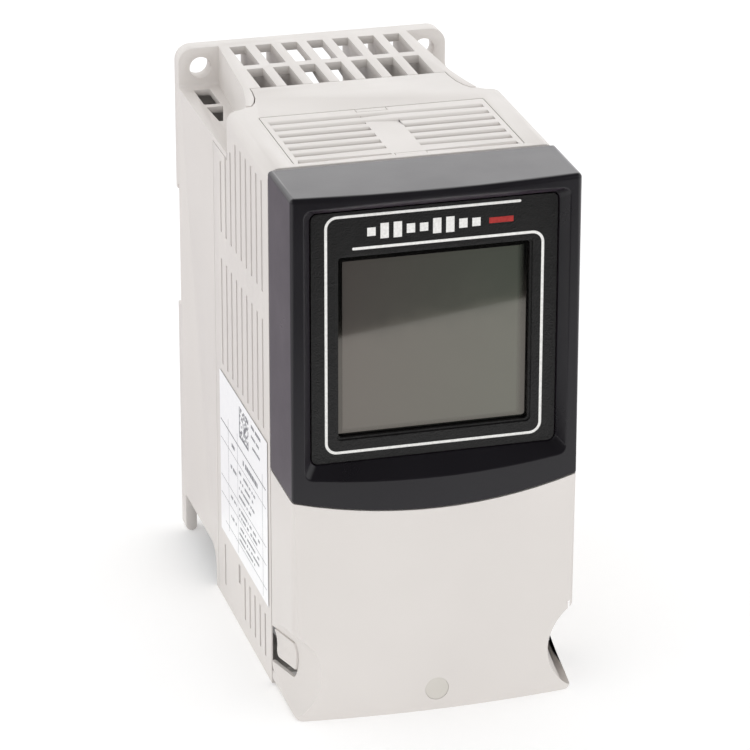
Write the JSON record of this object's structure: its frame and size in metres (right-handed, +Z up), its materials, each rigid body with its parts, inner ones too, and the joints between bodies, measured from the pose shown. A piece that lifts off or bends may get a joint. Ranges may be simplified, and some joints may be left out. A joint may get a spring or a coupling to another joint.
{
  "type": "variable frequency drive",
  "caption": "Compact wall or rail mounted motor drive: vented plastic case on a finned heat sink, framed screen, clip-fitted terminal cover.",
  "frame": {"origin": "middle of the case's footprint, at the level of its base", "axes": "+Z up the case, +X to the right of the display, -Y out of the display, +Y into the mounting wall"},
  "size_m": [0.0804, 0.1386, 0.152],
  "materials": {
    "housing_plastic": "satin moulded light warm grey",
    "bezel_plastic": "satin moulded black",
    "panel_plastic": "fine textured black with a printed white line",
    "screen": "polished",
    "label_film": "printed white film",
    "black_plastic": "glass filled black",
    "terminal_plastic": "moulded green",
    "light_plastic": "moulded pale grey",
    "board": "solder mask green laminate",
    "heat_sink_aluminium": "extruded",
    "zinc_steel": "zinc plated",
    "brass": "plated",
    "can_sleeve": "sleeved can",
    "winding": "taped winding on a ferrite core",
    "ribbon": "flat cable",
    "lead": "insulated wire",
    "spring_steel": "drawn wire"
  },
  "bodies": {
    "case": {"rear_housing": "housing_plastic", "front_housing": "housing_plastic", "wiring_guard": "housing_plastic", "display_bezel": "bezel_plastic", "display_panel": "panel_plastic", "screen_glass": "screen", "screen_module": "zinc_steel", "display_board": "board", "control_board": "board", "power_board": "board", "display_ribbon": "ribbon", "board_ribbon": "ribbon", "rating_label": "label_film", "heat_sink": "heat_sink_aluminium", "fan_frame": "black_plastic", "fan_guard": "black_plastic", "fan_lead": "lead", "power_module": "black_plastic", "power_transformer": "winding", "charge_relay": "light_plastic", "power_terminal_block": "black_plastic", "control_terminal_block": "terminal_plastic", "network_port": "light_plastic", "ground_plate": "zinc_steel", "din_latch_spring": "spring_steel", "fan_screw_1": "zinc_steel", "module_screw_1": "zinc_steel", "ground_screw_1": "zinc_steel", "control_board_screw_1": "zinc_steel", "bus_capacitor_1": "can_sleeve", "fan_screw_2": "zinc_steel", "module_screw_2": "zinc_steel", "ground_screw_2": "zinc_steel", "control_board_screw_2": "zinc_steel", "bus_capacitor_2": "can_sleeve", "board_screw_1": "zinc_steel", "board_standoff_1": "brass", "board_screw_2": "zinc_steel", "board_standoff_2": "brass", "board_screw_3": "zinc_steel", "board_standoff_3": "brass", "board_screw_4": "zinc_steel", "board_standoff_4": "brass", "power_terminal_screw_1": "zinc_steel", "power_terminal_screw_2": "zinc_steel", "power_terminal_screw_3": "zinc_steel", "power_terminal_screw_4": "zinc_steel", "power_terminal_screw_5": "zinc_steel", "power_terminal_screw_6": "zinc_steel", "power_terminal_screw_7": "zinc_steel"},
    "front_cover": {"front_cover": "housing_plastic", "cover_plug": "housing_plastic"},
    "tab_left": {"cover_tab_left": "housing_plastic"},
    "tab_right": {"cover_tab_right": "housing_plastic"},
    "vent_cover": {"top_vent_cover": "housing_plastic"},
    "fan": {"fan_rotor": "black_plastic"},
    "latch": {"din_latch": "black_plastic"}
  },
  "joints": [
    {"name": "front_cover_slide", "type": "slide", "parent": "case", "child": "front_cover", "axis": [0, -1, 0], "range_m": [0, 0.03]},
    {"name": "tab_left_press", "type": "hinge", "parent": "front_cover", "child": "tab_left", "pos_m": [-0.036, -0.0551, 0.0133], "axis": [0, 0, -1], "range_deg": [0, 8], "stiffness_Nm_per_rad": 0.4, "springref_deg": -1.15},
    {"name": "tab_right_press", "type": "hinge", "parent": "front_cover", "child": "tab_right", "pos_m": [0.036, -0.0551, 0.0133], "axis": [0, 0, 1], "range_deg": [0, 8], "stiffness_Nm_per_rad": 0.4, "springref_deg": -1.15},
    {"name": "vent_cover_lift", "type": "slide", "parent": "case", "child": "vent_cover", "axis": [0, 0, 1], "range_m": [0, 0.02]},
    {"name": "fan_spin", "type": "hinge", "parent": "case", "child": "fan", "pos_m": [0, 0.0434, 0.019], "axis": [0, 0, 1], "continuous": true},
    {"name": "rail_latch_slide", "type": "slide", "parent": "case", "child": "latch", "axis": [0, 0, -1], "range_m": [0, 0.005], "stiffness_N_per_m": 1200, "springref_m": -0.002, "deforming": ["din_latch_spring"]}
  ]
}
